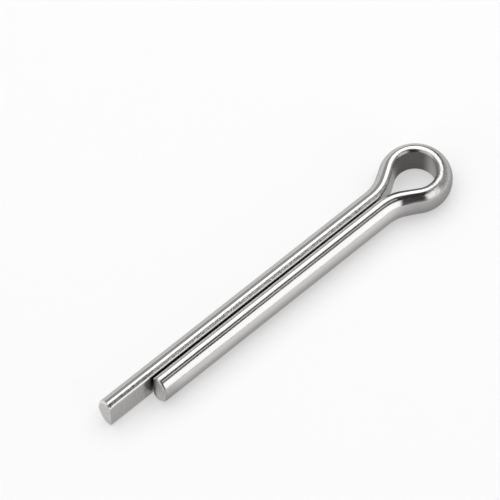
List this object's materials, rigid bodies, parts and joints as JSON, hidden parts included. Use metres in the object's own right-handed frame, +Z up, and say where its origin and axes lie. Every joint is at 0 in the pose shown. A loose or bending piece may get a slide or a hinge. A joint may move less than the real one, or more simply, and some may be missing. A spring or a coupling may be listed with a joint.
{
  "type": "cotter pin",
  "caption": "Split cotter pin of half-round stainless wire bent flat side inwards, with a teardrop eye and straight legs of unequal length, to lock a nut or clevis pin.",
  "frame": {"origin": "on the shank's axis, where the necks start to spread to the eye", "axes": "+X along the shank towards the eye, +Y towards the longer leg, +Z up out of the plane of the bend"},
  "size_m": [0.0833, 0.014, 0.007],
  "materials": {
    "stainless_wire": "bright drawn stainless wire"
  },
  "bodies": {
    "root": {"split_pin": "stainless_wire"}
  },
  "joints": []
}
